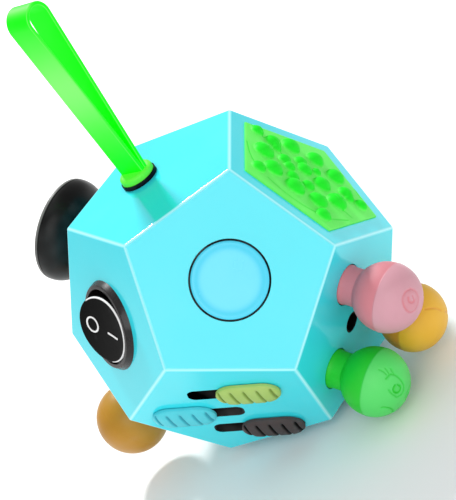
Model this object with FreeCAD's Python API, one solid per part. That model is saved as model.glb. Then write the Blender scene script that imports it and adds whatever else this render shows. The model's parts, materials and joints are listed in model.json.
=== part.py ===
"""Twelve-sided fidget toy: a hollow dodecahedron with a different toy on each face.

Millimetres, +Z up. The toy stands on the ring of its dial face, and the origin is the middle of that
ring's lower face. The strap face is on top and the button face looks towards -Y and up.

Each toy is drawn in its own face's frame: x and y lie in the face and z points out of it, with zero on
the outer surface. For every face but the button and the dish, +y points towards the button face.
"""

import math
import os

import FreeCAD
import Part

V = FreeCAD.Vector
X_AXIS = V(1, 0, 0)
Y_AXIS = V(0, 1, 0)
Z_AXIS = V(0, 0, 1)

# Case
EDGE = 25.0
INRADIUS = EDGE / 2 * math.sqrt(2.5 + 1.1 * math.sqrt(5))
CIRCUMRADIUS = EDGE / (2 * math.sin(math.radians(36)))
MIDRADIUS = EDGE * (3 + math.sqrt(5)) / 4
WALL = 2.2
EDGE_ROUND = 0.9
FIT = 0.03
RUNNING = 0.06
FLANGE = 1.2
WIRE = 0.3
FINE_WIRE = 0.25
STAND = 3.0
CUT_LOW = -WALL - 1.0
CUT_HIGH = 2.0
SHELF = -WALL - FLANGE
PLATE = 1.0
HAIR = 0.02
TINY = 1e-6
CENTRE = V(0, 0, INRADIUS + STAND)

# Faces by elevation and azimuth in degrees
TILT = math.degrees(math.atan(0.5))
FACES = {
    "strap": (90, 0), "button": (TILT, -90), "pad": (TILT, -18), "rollers": (TILT, 54),
    "cup": (TILT, 126), "rocker": (TILT, 198), "sliders": (-TILT, 234), "heads": (-TILT, 306),
    "spinner": (-TILT, 18), "dish": (-TILT, 90), "joystick": (-TILT, 162), "dial": (-90, 0),
}
FRONT_FACES = ("button", "strap", "pad", "rocker", "sliders", "heads")

# Locating pins across the joint of the two shells
BOSS_RADIUS = 2.4
BOSS_HALF = 3.3
BOSS_INSET = 5.2
PIN_RADIUS = 1.0
PIN_HALF = 2.8
PIN_PLAY = 0.1
BOSS_ROOM = 0.2
NEIGHBOUR_COSINE = 0.4
REGION_REACH = 1.5 * INRADIUS
FRONT_CORNER = 54
REAR_CORNER = 90

# Button
BUTTON_RADIUS = 7.55
BUTTON_BORE = 7.61
BUTTON_HOLE = 7.95
BUTTON_PROUD = 0.6
BUTTON_CHAMFER = 0.55
BUTTON_SKIRT = -6.2
BUTTON_SKIRT_BORE = 6.0
BUTTON_UNDERSIDE = -1.6
BUTTON_STOP_RADIUS = 8.2
BUTTON_STOP = (-5.4, -4.4)
BUTTON_HOUSING = 9.2
BUTTON_FLOOR = -9.5
BUTTON_COIL = 3.6
BUTTON_TURNS = 5
BUTTON_STOP_ROOT = 0.5
BUTTON_PEG_RADIUS = 2.2
BUTTON_PEG_LENGTH = 2.9
SLEEVE_REACH = 0.9
SLEEVE_TOP = -0.3
HOUSING_WALL = 0.7
BASE_PEG = (2.6, 1.8)
BASE_PEG_HEIGHT = 1.5

# Strap
STRAP_PLACE = (2.4, -4.75)
STRAP_SPIN = 220.0
STRAP_WIDTH = 6.0
STRAP_THICK = 0.85
STRAP_TURN = (1.0, 39.7)
STRAP_TURN_RADIUS = 3.05
COLLAR_RADIUS = 3.65
COLLAR_TOP = 2.3
GASKET_RADIUS = 3.9
GASKET_THICK = 0.9
STEM_RADIUS = 2.2
BUSHING_RADIUS = 3.2
BUSHING_FLANGE = 4.2
STRAP_WASHER = -11.0
STRAP_WASHER_RADIUS = 3.6
STRAP_COIL = 2.9
STRAP_TURNS = 4
STRAP_EDGE = 0.2
STRAP_PARTING = 0.05
STRAP_FOOT = 0.5
STRAP_FORK = 8.0
COLLAR_ROUND = 0.7
GASKET_PLAY = 0.08

# Texture pad
PAD_CIRCUMRADIUS = 17.0
PAD_DEPTH = 1.4
PAD_LEDGE = 1.6
PAD_TOP = 0.4
BACKING_INSET = 0.8

# Rocker switch
ROCKER_PLACE = (1.0, -0.5)
ROCKER_SPIN = -34.5
ROCKER_BEZEL = 9.25
ROCKER_BEZEL_TOP = 8.5
ROCKER_CUP = 8.3
ROCKER_BORE = 7.75
ROCKER_LIP = 1.2
ROCKER_PIN = 1.0
ROCKER_PIVOT = -1.7
ROCKER_TILT = 11.0
ROCKER_FLOOR = -8.8
PADDLE_RADIUS = 6.95
PADDLE_NECK = 6.5
PADDLE_SHOULDER = 2.9
PADDLE_HOLLOW = 45.0
PADDLE_MIDDLE = 3.85
PADDLE_STEM = 1.9
PLUNGER_RADIUS = 1.04
MARK_PLACE = 3.1
MARK_DEPTH = 0.1
MARK_RING = (1.75, 1.38)
MARK_BAR = (0.2, 1.6)
MARK_REACH = 6
ROLL_REACH = 12
PADDLE_STEP = 1.4
PADDLE_STEP_IN = 0.5
PADDLE_FOOT = -1.6
PADDLE_STEM_FOOT = -4.6
PADDLE_STEM_TOP = -1.5
PLUNGER_BORE_TOP = -1.8
PLUNGER_FOOT = -5.3
PLUNGER_TOP = -2.6
PLUNGER_TIP = -5.0
ROCKER_PIN_HALF = 8.2
ROCKER_PIN_CUT = 9
ROCKER_CUP_TOP = 0.2
BEZEL_ROUND = 0.3
RIDGE = (4.0, 0.4)
RIDGE_HEIGHT = 0.7

# Sliders: colour, resting place along its row, place of the row, direction of travel
SLIDER_SPIN = 10.0
SLIDERS = (("lime", 4.7, 6.6, -1), ("blue", -9.6, -2.2, 1), ("black", 7.0, -10.0, -1))
SLIDER_TRAVEL = 9.3
SLOT_HALF = 2.1
SLOT_LINER = 0.35
SLOT_CORNER = 1.6
STEM_HALF = 1.65
STEM_LENGTH = 4.5
STEM_PLAY = 0.1
GRIP_LENGTH = 12.8
GRIP_WIDTH = 7.5
GRIP_LIFT = 0.15
GRIP_TOP = 1.6
GROOVE_RADIUS = 0.5
GROOVE_PITCH = 2.1
GROOVE_SLANT = -32
GROOVE_REACH = 6
GROOVE_LIFT = 0.12
GRIP_ROUND = 0.8
CARRIER_HALF = 2.7
CARRIER_LENGTH = 6.8
CHANNEL_HALF = 3.0
CHANNEL_WALL = 0.8
CHANNEL_FLOOR = -3.5
CHANNEL_PLAY = 0.3
CARRIER_PLAY = 0.1
LINER_TOP = -0.05
TRACK_WEB = (2.5, 9.0)
TRACK_WEB_Y = -2.0

# Heads: colour and place on the face
HEADS = (("pink", 6.2, 6.4), ("green", -10.1, -0.6), ("orange", 4.25, -9.0))
HEAD_RADIUS = 7.0
HEAD_HEIGHT = 8.8
HEAD_PIVOT = -1.1
NECK_RADIUS = 3.75
NECK_SEAT = 4.1
NECK_HOLE = 4.25
POST_RADIUS = 2.0
HEAD_FLANGE = 4.8
HEAD_FLANGE_TOP = -3.5
HEAD_PLATE_TOP = -7.6
PEEP_PLACE = (-0.4, -1.2)
PEEP_RADIUS = 2.2
PEEP_LINER = 0.35
PEEP_FLOOR = -6.2
PLATE_HUB = 4.4
PLATE_PAD = 3.7
HEAD_COIL = 2.7
HEAD_TURNS = 2.5
NECK_TAPER = 0.1
SEAT_HALF = 5
POST_COLLAR = 2.8
PEEP_WALL = 1.0
PEEP_TOP = -0.05
ARM = (5.0, 1.8)

# Suction cup
CUP_RADIUS = 11.0
CUP_HEIGHT = 13.2
CUP_DEPTH = 3.7
CUP_FOOT = 1.2
CUP_LIP = 0.35
STUD_RADIUS = 1.8
STUD_HEAD = 2.6
STUD_SHOULDER = 6.0
STUD_HEAD_THICK = 1.2
STUD_HEAD_ROOM = 1.4
STUD_FOOT_GAP = 0.1
CUP_HEEL = (0.15, 0.7)
CUP_FOOT_RADIUS = 4.2
CUP_WAIST = (3.4, 3.2)
CUP_SHOULDER = (3.8, 6.2)
CUP_BACK = (8.3, 8.7)
CUP_ROOM_PAST = 0.2

# Joystick
BALL_RADIUS = 7.6
BALL_HEIGHT = 11.5
STICK_PIVOT = -5.0
STICK_RADIUS = 2.2
STICK_TOP = 13.0
GIMBAL_INNER = 4.2
GIMBAL_OUTER = 5.8
CRADLE_BORE = 6.6
CRADLE_RADIUS = 7.9
TRUNNION = 0.8
TRUNNION_HOLE = 0.86
STICK_FOOT = -9.5
CRADLE_FLOOR = -12.0
GATE_RADIUS = 8.6
GATE_BORE = 5.2
GATE_TOP = 1.2
STICK_HOLE = 5.6
STICK_FOOT_RADIUS = 3.0
STICK_FOOT_THICK = 0.9
STICK_COIL = 2.6
STICK_TURNS = 2.5
STICK_TRUNNION = 5.4
GIMBAL_HALF = 1.2
GIMBAL_TRUNNION = (5.2, 7.6)
GIMBAL_CUT = 7
CRADLE_FLANGE = 9.0
CRADLE_CUT = 9
GATE_ROUND = 0.4
BALL_NECK = 3.4
BALL_NECK_FOOT = 3.4

# Rollers
ROLLER_RADIUS = 5.8
ROLLER_WIDTH = 3.8
ROLLER_GAP = 0.4
ROLLER_AXIS = -3.2
ROLLER_TEETH = 14
GROOVE_DEPTH = 0.6
GROOVE_WIDTH = 0.75
AXLE_RADIUS = 0.9
AXLE_HALF = 8.6
ROLLER_POCKET_X = 6.3
ROLLER_POCKET_Y = 6.1
ROLLER_HOUSING = 9.4
ROLLER_CHAMFER = 0.35
ROLLER_ROOM = 0.4
ROLLERS = 3

# Dial, spinner and dish
ROOT_FLANGE = 4.6
RING_OUTER = 11.8
RING_INNER = 9.4
DIAL_RADIUS = 9.2
HUB_RADIUS = 2.4
HUB_HEAD = 3.6
SPINNER_RADIUS = 9.0
SPINNER_BOTTOM = 0.9
SPINNER_TOP = 3.6
SPINNER_POST = 2.0
BEARING_OUTER = 4.0
DISH_RADIUS = 12.8
DISH_BARREL = 11.4
DISH_CURVE = 24.0
DISH_LIP = 0.9
DISH_SAG = 2.0
DISH_ROUND = 0.5
DISH_OVERLAP = 0.2
RING_ROUND = 0.4
DIAL_LIFT = 0.15
DIAL_SET_BACK = 0.4
DIAL_DIMPLE = 1.6
DIAL_DIMPLES = 8
DIAL_DIMPLE_RING = 6.5
DIAL_DIMPLE_LIFT = 0.4
HUB_HEAD_THICK = 0.75
HUB_HEAD_ROOM = 0.15
SPINNER_ROUND = 0.7
SPINNER_DIMPLE = 2.8
SPINNER_DIMPLES = 3
SPINNER_DIMPLE_RING = 6.4
SPINNER_DIMPLE_LIFT = 1.6
BEARING_SET_BACK = 0.8
POST_HEAD = 3.4
POST_HEAD_THICK = 0.7
POST_FOOT = 3.0
POST_FOOT_GAP = 0.1


# ---------------------------------------------------------------- frames and small helpers

def normal(name):
    """Outward direction of a face."""
    elevation, azimuth = (math.radians(angle) for angle in FACES[name])
    flat = math.cos(elevation)
    return V(flat * math.cos(azimuth), flat * math.sin(azimuth), math.sin(elevation))


def place(name, x=0.0, y=0.0, spin=0.0):
    """Placement of a point of a face, turned by spin degrees about the face's normal."""
    outward = normal(name)
    reference = Z_AXIS if name in ("button", "dish") else normal("button")
    along = reference.cross(outward).normalize()
    rotation = FreeCAD.Rotation(along, outward.cross(along), outward, "ZXY")
    face = FreeCAD.Placement(CENTRE + outward * INRADIUS, rotation)
    return face.multiply(FreeCAD.Placement(V(x, y, 0), FreeCAD.Rotation(Z_AXIS, spin)))


def put(shape, name, x=0.0, y=0.0, spin=0.0):
    """Move a shape drawn in a face's frame into the toy's frame."""
    return shape.transformed(place(name, x, y, spin).toMatrix())


def disc(radius, bottom, top, x=0.0, y=0.0):
    return Part.makeCylinder(radius, top - bottom, V(x, y, bottom))


def tube(outer, inner, bottom, top):
    return disc(outer, bottom, top).cut(disc(inner, bottom, top))


def rod(radius, start, end, axis, height=0.0):
    """Cylinder along an in-plane axis, at a height."""
    return Part.makeCylinder(radius, end - start, axis * start + V(0, 0, height), axis)


def block(half_x, half_y, bottom, top, x=0.0, y=0.0):
    corner = V(x - half_x, y - half_y, bottom)
    return Part.makeBox(2 * half_x, 2 * half_y, top - bottom, corner)


def capsule(half_width, first, last, bottom, top, y=0.0):
    """Upright slab with round ends whose tips lie at x = first and x = last."""
    start = first + half_width
    end = last - half_width
    bar = block((end - start) / 2, half_width, bottom, top, (start + end) / 2, y)
    ends = [disc(half_width, bottom, top, start, y), disc(half_width, bottom, top, end, y)]
    return bar.fuse(ends).removeSplitter()


def ring_points(radius, first_angle, count, z):
    step = 2 * math.pi / count
    start = math.radians(first_angle)
    return [V(radius * math.cos(start + i * step), radius * math.sin(start + i * step), z)
            for i in range(count)]


def slot_slab(half_width, first, last, bottom, top, corner, y):
    """Upright slab from x = first to x = last with its upright edges rounded."""
    slab = block((last - first) / 2, half_width, bottom, top, (first + last) / 2, y)
    return slab.makeFillet(corner, [edge for edge in slab.Edges if edge.BoundBox.ZLength > TINY])


def pentagon_slab(radius, bottom, top):
    """Pentagon with the same corners as a front-side face, as an upright slab."""
    points = ring_points(radius, FRONT_CORNER, 5, bottom)
    return Part.Face(Part.makePolygon(points + points[:1])).extrude(V(0, 0, top - bottom))


def revolve(edges):
    """Solid of revolution about z of a closed outline in the x-z half plane."""
    return Part.Face(Part.Wire(edges)).revolve(V(0, 0, 0), Z_AXIS, 360)


def line(a, b):
    return Part.LineSegment(V(a[0], 0, a[1]), V(b[0], 0, b[1])).toShape()


def arc(a, middle, b):
    return Part.Arc(V(a[0], 0, a[1]), V(middle[0], 0, middle[1]), V(b[0], 0, b[1])).toShape()


def coil(radius, wire, bottom, top, turns):
    """Round-wire compression spring between two heights, as tilted half turns joined by balls."""
    rise = (top - bottom - 2 * wire) / (2 * turns)
    slope = math.degrees(math.asin(rise / (2 * radius)))
    joint = radius * math.cos(math.radians(slope))
    pieces = []
    for index in range(int(2 * turns)):
        side = 1 - 2 * (index % 2)
        height = bottom + wire + rise * index
        half_turn = Part.makeTorus(radius, wire, V(0, 0, 0), Z_AXIS, -180, 180, 180)
        half_turn.rotate(V(0, 0, 0), Z_AXIS, 90 - 90 * side)
        half_turn.rotate(V(0, 0, 0), Y_AXIS, slope * side)
        half_turn.translate(V(0, 0, height + rise / 2))
        pieces += [half_turn, Part.makeSphere(wire, V(joint * side, 0, height))]
    pieces.append(Part.makeSphere(wire, V(-joint * side, 0, top - wire)))
    return pieces[0].fuse(pieces[1:])


def round_rim(shape, radius, height):
    """Round the circular edges that lie at one height."""
    rims = [edge for edge in shape.Edges
            if abs(edge.BoundBox.ZMin - height) < TINY and abs(edge.BoundBox.ZMax - height) < TINY]
    return shape.makeFillet(radius, rims)


# ---------------------------------------------------------------- case

def face_corners(name, distance):
    """Corners of a face of the dodecahedron whose faces lie at this distance from the centre."""
    first = FRONT_CORNER if name in FRONT_FACES else REAR_CORNER
    points = ring_points(CIRCUMRADIUS * distance / INRADIUS, first, 5, distance - INRADIUS)
    frame = place(name)
    return [frame.multVec(point) for point in points]


def dodecahedron(distance):
    faces = []
    for name in FACES:
        corners = face_corners(name, distance)
        faces.append(Part.Face(Part.makePolygon(corners + corners[:1])))
    return Part.makeSolid(Part.makeShell(faces))


def front_region():
    """Everything that is nearest to one of the six front faces, as six pyramids from the centre."""
    pyramids = []
    for name in FRONT_FACES:
        corners = face_corners(name, REGION_REACH)
        sides = [Part.Face(Part.makePolygon(corners + corners[:1]))]
        for first, second in zip(corners, corners[1:] + corners[:1]):
            sides.append(Part.Face(Part.makePolygon([CENTRE, first, second, CENTRE])))
        pyramids.append(Part.makeSolid(Part.makeShell(sides)))
    return pyramids[0].fuse(pyramids[1:]).removeSplitter()


def boss_lines():
    """Middle and axis of each locating pin: one pin on every second edge of the shells' joint."""
    lines = []
    for name in FRONT_FACES:
        if name == "button":
            continue
        along = place(name).Rotation.multVec(X_AXIS)
        for other in FACES:
            apart = normal(name).dot(normal(other)) < NEIGHBOUR_COSINE
            if other in FRONT_FACES or apart or normal(other).dot(along) > 0:
                continue
            edge = (normal(name) + normal(other)).normalize()
            axis = (normal(name) - normal(other)).normalize()
            lines.append((CENTRE + edge * (MIDRADIUS - BOSS_INSET), axis))
    return lines


def crossing_cylinders(radius, half):
    return [Part.makeCylinder(radius, 2 * half, middle - axis * half, axis) for middle, axis in boss_lines()]


def boss_room():
    """What pieces inside the case leave free around the bosses."""
    return crossing_cylinders(BOSS_RADIUS + BOSS_ROOM, BOSS_HALF + BOSS_ROOM)


def make_case(cuts):
    outer = dodecahedron(INRADIUS)
    outer = outer.makeFillet(EDGE_ROUND, outer.Edges)
    case = outer.cut(dodecahedron(INRADIUS - WALL))
    case = case.fuse(crossing_cylinders(BOSS_RADIUS, BOSS_HALF))
    case = case.cut(crossing_cylinders(PIN_RADIUS, PIN_HALF) + cuts)
    region = front_region()
    pins = Part.makeCompound(crossing_cylinders(PIN_RADIUS, PIN_HALF - PIN_PLAY))
    return {"front_shell": case.common(region), "rear_shell": case.cut(region), "locating_pins": pins}


# ---------------------------------------------------------------- button

def make_button():
    """Cap with a skirt that a sleeve guides, over a spring in a cup below the face."""
    cap = disc(BUTTON_RADIUS, BUTTON_SKIRT, BUTTON_PROUD)
    cap = cap.cut(disc(BUTTON_SKIRT_BORE, BUTTON_SKIRT, BUTTON_UNDERSIDE))
    top_rim = [edge for edge in cap.Edges if abs(edge.BoundBox.ZMin - BUTTON_PROUD) < TINY]
    cap = cap.makeChamfer(BUTTON_CHAMFER, top_rim)
    stop = tube(BUTTON_STOP_RADIUS, BUTTON_RADIUS - BUTTON_STOP_ROOT, *BUTTON_STOP)
    spring_seat = disc(BUTTON_PEG_RADIUS, BUTTON_UNDERSIDE - BUTTON_PEG_LENGTH, BUTTON_UNDERSIDE)
    cap = cap.fuse([stop, spring_seat]).removeSplitter()
    sleeve_bottom = SHELF - SLEEVE_REACH
    sleeve = disc(BUTTON_HOLE - FIT, sleeve_bottom, SLEEVE_TOP).fuse(disc(BUTTON_HOUSING, SHELF, -WALL))
    sleeve = sleeve.cut(disc(BUTTON_BORE, sleeve_bottom, SLEEVE_TOP)).removeSplitter()
    base = disc(BUTTON_HOUSING, BUTTON_FLOOR - PLATE, SHELF)
    base = base.cut(disc(BUTTON_HOUSING - HOUSING_WALL, BUTTON_FLOOR, SHELF))
    base = base.fuse(tube(*BASE_PEG, BUTTON_FLOOR, BUTTON_FLOOR + BASE_PEG_HEIGHT)).removeSplitter()
    spring = coil(BUTTON_COIL, WIRE, BUTTON_FLOOR, BUTTON_UNDERSIDE, BUTTON_TURNS)
    nodes = {"button_cap": cap, "button_sleeve": sleeve, "button_base": base, "button_spring": spring}
    return {name: put(shape, "button") for name, shape in nodes.items()}


def button_cuts():
    return [put(disc(BUTTON_HOLE, CUT_LOW, CUT_HIGH), "button")]


# ---------------------------------------------------------------- strap

def tangent_point(point, centre, radius, side):
    """Where the tangent from a point touches a circle; side is 1 for its left flank, -1 for its right."""
    reach = math.hypot(centre[0] - point[0], centre[1] - point[1])
    heading = math.atan2(centre[1] - point[1], centre[0] - point[0]) + side * math.asin(radius / reach)
    run = math.sqrt(reach ** 2 - radius ** 2)
    return (point[0] + run * math.cos(heading), point[1] + run * math.sin(heading))


def teardrop(left, right, radius):
    """Slab as wide as the strap: two straight flanks that rise and meet a round turn."""
    start = tangent_point(left, STRAP_TURN, radius, 1)
    end = tangent_point(right, STRAP_TURN, radius, -1)
    crown = (STRAP_TURN[0], STRAP_TURN[1] + radius)
    edges = [line(left, start), arc(start, crown, end), line(end, right)]
    if left != right:
        edges.append(line(right, left))
    slab = Part.Face(Part.Wire(edges)).extrude(V(0, STRAP_WIDTH, 0))
    slab.translate(V(0, -STRAP_WIDTH / 2, 0))
    return slab


def strap_outline():
    foot = STRAP_THICK + STRAP_PARTING
    bottom = GASKET_THICK + STRAP_FOOT
    return teardrop((-foot, bottom), (foot, bottom), STRAP_TURN_RADIUS + STRAP_THICK / 2)


def make_strap():
    """Loop set in a collar, on a stem that runs in a bushing against a spring."""
    outline = strap_outline()
    flanks = [edge for edge in outline.Edges if edge.BoundBox.YLength < TINY and edge.BoundBox.ZLength > 1]
    outline = outline.makeFillet(STRAP_EDGE, flanks)
    gap_foot = (STRAP_PARTING, STRAP_FORK)
    loop = outline.cut(teardrop(gap_foot, gap_foot, STRAP_TURN_RADIUS - STRAP_THICK / 2))
    collar = round_rim(disc(COLLAR_RADIUS, GASKET_THICK, COLLAR_TOP), COLLAR_ROUND, COLLAR_TOP)
    collar = collar.cut(strap_outline())
    gasket = tube(GASKET_RADIUS, STEM_RADIUS + GASKET_PLAY, 0.0, GASKET_THICK - HAIR)
    stem = disc(STEM_RADIUS, STRAP_WASHER, GASKET_THICK)
    stem = stem.fuse(disc(STRAP_WASHER_RADIUS, STRAP_WASHER - FLANGE, STRAP_WASHER)).removeSplitter()
    bushing = disc(BUSHING_RADIUS - FIT, -WALL, 0).fuse(disc(BUSHING_FLANGE, SHELF, -WALL))
    bushing = bushing.cut(disc(STEM_RADIUS + RUNNING, SHELF, 0)).removeSplitter()
    spring = coil(STRAP_COIL, WIRE, STRAP_WASHER, SHELF, STRAP_TURNS)
    nodes = {"strap_loop": loop, "strap_collar": collar, "strap_gasket": gasket,
             "strap_stem": stem, "strap_bushing": bushing, "strap_spring": spring}
    return {name: put(shape, "strap", *STRAP_PLACE, STRAP_SPIN) for name, shape in nodes.items()}


def strap_cuts():
    return [put(disc(BUSHING_RADIUS, CUT_LOW, CUT_HIGH), "strap", *STRAP_PLACE)]


# ---------------------------------------------------------------- texture pad

def make_pad():
    """Silicone sheet in a pentagonal pocket, with a plug through the window and a plate behind it."""
    sheet = pentagon_slab(PAD_CIRCUMRADIUS - FIT, -PAD_DEPTH, PAD_TOP)
    plug = pentagon_slab(PAD_CIRCUMRADIUS - PAD_LEDGE - FIT, -WALL, -PAD_DEPTH)
    pad = sheet.fuse(plug).removeSplitter()
    backing = put(pentagon_slab(PAD_CIRCUMRADIUS - BACKING_INSET, SHELF, -WALL), "pad")
    return {"texture_pad": put(pad, "pad"), "pad_backing": backing.cut(boss_room())}


def pad_cuts():
    pocket = pentagon_slab(PAD_CIRCUMRADIUS, -PAD_DEPTH, CUT_HIGH)
    window = pentagon_slab(PAD_CIRCUMRADIUS - PAD_LEDGE, CUT_LOW, -PAD_DEPTH)
    return [put(pocket, "pad"), put(window, "pad")]


# ---------------------------------------------------------------- rocker switch

def hollow_roll(radius):
    """Roll that presses the paddle's hollow top; the paddle's frame has its pivot at the origin."""
    return rod(radius, -ROLL_REACH, ROLL_REACH, X_AXIS, PADDLE_MIDDLE + PADDLE_HOLLOW)


def make_paddle():
    """Round paddle, level about its pivot, with two steps under its cap and a bored stem."""
    step = PADDLE_SHOULDER - PADDLE_STEP
    body = disc(PADDLE_RADIUS, PADDLE_SHOULDER, 2 * PADDLE_SHOULDER)
    body = body.fuse([disc(PADDLE_NECK, step, PADDLE_SHOULDER),
                      disc(PADDLE_NECK - PADDLE_STEP_IN, PADDLE_FOOT, step)])
    body = body.cut(hollow_roll(PADDLE_HOLLOW))
    bore = disc(PLUNGER_RADIUS + RUNNING, PADDLE_STEM_FOOT, PLUNGER_BORE_TOP)
    stem = disc(PADDLE_STEM, PADDLE_STEM_FOOT, PADDLE_STEM_TOP).cut(bore)
    pin = rod(ROCKER_PIN + RUNNING, -ROCKER_PIN_CUT, ROCKER_PIN_CUT, X_AXIS)
    return body.fuse(stem).cut(pin).removeSplitter()


def make_marks():
    """Ring and bar, pad-printed on the hollow top."""
    skin = hollow_roll(PADDLE_HOLLOW).cut(hollow_roll(PADDLE_HOLLOW - MARK_DEPTH))
    ring = tube(*MARK_RING, 0, MARK_REACH)
    ring.translate(V(0, -MARK_PLACE, 0))
    bar = block(*MARK_BAR, 0, MARK_REACH, 0, MARK_PLACE)
    return Part.makeCompound([ring.common(skin), bar.common(skin)])


def make_rocker():
    """Switch body with a sloping bezel, and the paddle on its pin, tilted to its O side's high end."""
    lip = round_rim(Part.makeCone(ROCKER_BEZEL, ROCKER_BEZEL_TOP, ROCKER_LIP), BEZEL_ROUND, ROCKER_LIP)
    cup = disc(ROCKER_CUP, ROCKER_FLOOR - FLANGE, ROCKER_CUP_TOP).fuse(lip)
    cup = cup.cut(disc(ROCKER_BORE, ROCKER_FLOOR, 2 * ROCKER_LIP))
    cup = cup.fuse(block(*RIDGE, ROCKER_FLOOR, ROCKER_FLOOR + RIDGE_HEIGHT)).removeSplitter()
    cup = cup.cut(rod(ROCKER_PIN, -ROCKER_PIN_CUT, ROCKER_PIN_CUT, X_AXIS, ROCKER_PIVOT))
    tip = Part.makeSphere(PLUNGER_RADIUS, V(0, 0, PLUNGER_TIP))
    plunger = disc(PLUNGER_RADIUS, PLUNGER_FOOT, PLUNGER_TOP).fuse(tip).removeSplitter()
    pin = rod(ROCKER_PIN, -ROCKER_PIN_HALF, ROCKER_PIN_HALF, X_AXIS, ROCKER_PIVOT)
    moving = {"rocker_paddle": make_paddle(), "rocker_marks": make_marks(), "rocker_plunger": plunger}
    nodes = {"rocker_bezel": cup, "rocker_pin": pin}
    for name, shape in moving.items():
        shape.translate(V(0, 0, ROCKER_PIVOT))
        shape.rotate(V(0, 0, ROCKER_PIVOT), X_AXIS, -ROCKER_TILT)
        nodes[name] = shape
    return {name: put(shape, "rocker", *ROCKER_PLACE, ROCKER_SPIN) for name, shape in nodes.items()}


def rocker_cuts():
    return [put(disc(ROCKER_CUP + FIT, CUT_LOW, 0), "rocker", *ROCKER_PLACE)]


# ---------------------------------------------------------------- sliders

def slider_reach(rest, direction, half):
    """First and last x that a piece of this half length sweeps."""
    other = rest + direction * SLIDER_TRAVEL
    return min(rest, other) - half, max(rest, other) + half


def make_grip(rest, row):
    """Round-ended grip with slanting grooves, on a stem that passes through the slot."""
    half = GRIP_LENGTH / 2
    grip = capsule(GRIP_WIDTH / 2, rest - half, rest + half, GRIP_LIFT, GRIP_TOP, row)
    grip = round_rim(grip, GRIP_ROUND, GRIP_TOP)
    for step in range(-2, 3):
        groove = rod(GROOVE_RADIUS, -GROOVE_REACH, GROOVE_REACH, Y_AXIS)
        groove.rotate(V(0, 0, 0), Z_AXIS, GROOVE_SLANT)
        groove.translate(V(rest + GROOVE_PITCH * step, row, GRIP_TOP + GROOVE_LIFT))
        grip = grip.cut(groove)
    stem_half = STEM_LENGTH / 2
    stem = capsule(STEM_HALF, rest - stem_half, rest + stem_half, -WALL - CARRIER_PLAY, GRIP_LIFT, row)
    return grip.fuse(stem).removeSplitter()


def make_channel(rest, row, direction):
    """Open channel for a carrier below the wall, with a dark liner that stands in the slot above it."""
    first, last = slider_reach(rest, direction, CARRIER_LENGTH / 2 + CHANNEL_PLAY)
    channel = capsule(CHANNEL_HALF + CHANNEL_WALL, first - CHANNEL_WALL, last + CHANNEL_WALL,
                      CHANNEL_FLOOR - PLATE, -WALL, row)
    channel = channel.cut(capsule(CHANNEL_HALF, first, last, CHANNEL_FLOOR, -WALL, row))
    first, last = slider_reach(rest, direction, STEM_LENGTH / 2 + STEM_PLAY)
    liner = slot_slab(SLOT_HALF, first - SLOT_LINER, last + SLOT_LINER, -WALL, LINER_TOP, SLOT_CORNER, row)
    bore = slot_slab(SLOT_HALF - SLOT_LINER, first, last, -WALL, 0, SLOT_CORNER - SLOT_LINER, row)
    return channel, liner.cut(bore)


def make_sliders():
    nodes = {}
    channels = []
    for colour, rest, row, direction in SLIDERS:
        nodes[colour + "_slider"] = make_grip(rest, row)
        half = CARRIER_LENGTH / 2
        nodes[colour + "_carrier"] = capsule(
            CARRIER_HALF, rest - half, rest + half, CHANNEL_FLOOR + CARRIER_PLAY, -WALL - CARRIER_PLAY, row)
        channel, nodes[colour + "_liner"] = make_channel(rest, row, direction)
        channels.append(channel)
    web = block(*TRACK_WEB, CHANNEL_FLOOR - PLATE, CHANNEL_FLOOR, 0, TRACK_WEB_Y)
    track = web.fuse(channels).removeSplitter()
    placed = {name: put(shape, "sliders", 0, 0, SLIDER_SPIN) for name, shape in nodes.items()}
    inside = dodecahedron(INRADIUS - WALL - HAIR)
    placed["slider_track"] = put(track, "sliders", 0, 0, SLIDER_SPIN).common(inside).cut(boss_room())
    return placed


def slider_cuts():
    cuts = []
    for _, rest, row, direction in SLIDERS:
        first, last = slider_reach(rest, direction, STEM_LENGTH / 2 + STEM_PLAY + SLOT_LINER + FIT)
        slot = slot_slab(SLOT_HALF, first, last, CUT_LOW, CUT_HIGH, SLOT_CORNER, row)
        cuts.append(put(slot, "sliders", 0, 0, SLIDER_SPIN))
    return cuts


# ---------------------------------------------------------------- heads

def nod_angle(x, y):
    """Direction on the face from the peep hole out to a head, in degrees."""
    return math.degrees(math.atan2(y - PEEP_PLACE[1], x - PEEP_PLACE[0]))


def make_head():
    """Ball on a short neck, whose round seat fills the hole, with a sprung post up its middle."""
    neck = Part.makeCone(NECK_RADIUS + NECK_TAPER, NECK_RADIUS - NECK_TAPER, HEAD_HEIGHT)
    seat = Part.makeSphere(NECK_SEAT, V(0, 0, HEAD_PIVOT)).common(block(SEAT_HALF, SEAT_HALF, -WALL, 0))
    ball = Part.makeSphere(HEAD_RADIUS, V(0, 0, HEAD_HEIGHT))
    head = ball.fuse([neck, seat]).cut(disc(POST_RADIUS, CUT_LOW, HEAD_HEIGHT)).removeSplitter()
    flange_bottom = HEAD_FLANGE_TOP - FLANGE
    post = disc(POST_RADIUS, flange_bottom, HEAD_HEIGHT).fuse(
        [disc(POST_COLLAR, HEAD_FLANGE_TOP, -WALL), disc(HEAD_FLANGE, flange_bottom, HEAD_FLANGE_TOP)])
    spring = coil(HEAD_COIL, FINE_WIRE, HEAD_PLATE_TOP, flange_bottom, HEAD_TURNS)
    return {"_head": head, "_post": post.removeSplitter(), "_spring": spring}


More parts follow.
